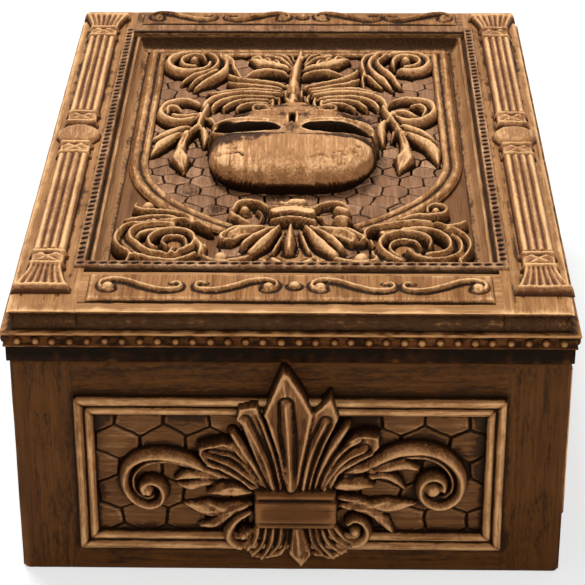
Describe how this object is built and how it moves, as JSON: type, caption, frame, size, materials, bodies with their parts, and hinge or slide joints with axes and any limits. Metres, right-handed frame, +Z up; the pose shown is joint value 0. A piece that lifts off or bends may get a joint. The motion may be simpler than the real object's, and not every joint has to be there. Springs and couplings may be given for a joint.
{
  "type": "tarot box",
  "caption": "Carved wood-look box for a card deck: walls with framed panels and palmettes, lift-off lid with half columns, scrolls and a skull in relief.",
  "frame": {"origin": "bottom centre of the box, on the surface it stands on", "axes": "+Z up, +Y along the length towards the end that the skull's jaw points to, +X to the right"},
  "size_m": [0.108, 0.158, 0.059],
  "materials": {
    "board": "oiled",
    "wall": "waxed, dark stain in the grain",
    "honeycomb": "waxed, dark stain in the grooves",
    "moulding": "waxed, rubbed lighter on its edges",
    "panel_moulding": "waxed, rubbed lighter on its edges",
    "lid_frame": "waxed, rubbed lighter on its edges",
    "carving": "waxed, dark stain in the hollows and rubbed light on the crests",
    "felt": "matt felt"
  },
  "bodies": {
    "base": {"floor_board": "board", "base_felt": "felt", "floor_felt": "felt", "front_wall": "wall", "right_wall": "wall", "back_wall": "wall", "left_wall": "wall", "liner_front": "board", "liner_right": "board", "liner_back": "board", "liner_left": "board", "front_field": "honeycomb", "right_field": "honeycomb", "back_field": "honeycomb", "left_field": "honeycomb", "front_frame": "panel_moulding", "right_frame": "panel_moulding", "back_frame": "panel_moulding", "left_frame": "panel_moulding", "front_cartouche": "carving", "right_cartouche": "carving", "back_cartouche": "carving", "left_cartouche": "carving"},
    "lid": {"lid_board": "board", "lid_lining": "felt", "lid_edge_near": "moulding", "lid_edge_right": "moulding", "lid_edge_far": "moulding", "lid_edge_left": "moulding", "lid_rail_near": "lid_frame", "lid_rail_far": "lid_frame", "lid_stile_left": "lid_frame", "lid_stile_right": "lid_frame", "column_left": "carving", "column_right": "carving", "plaque_near": "lid_frame", "plaque_far": "lid_frame", "bead_strip_near": "lid_frame", "bead_strip_left": "lid_frame", "bead_strip_right": "lid_frame", "far_moulding": "lid_frame", "cove_frame": "moulding", "lid_field": "honeycomb", "arch_moulding": "carving", "skull": "carving", "crown_palmette": "carving", "spray_left": "carving", "spray_right": "carving", "far_scroll_left": "carving", "far_scroll_right": "carving", "shell_knot": "carving", "near_scroll_left": "carving", "near_scroll_right": "carving"}
  },
  "joints": [
    {"name": "lid_lift", "type": "slide", "parent": "base", "child": "lid", "axis": [0, 0, 1], "range_m": [0, 0.1]}
  ]
}
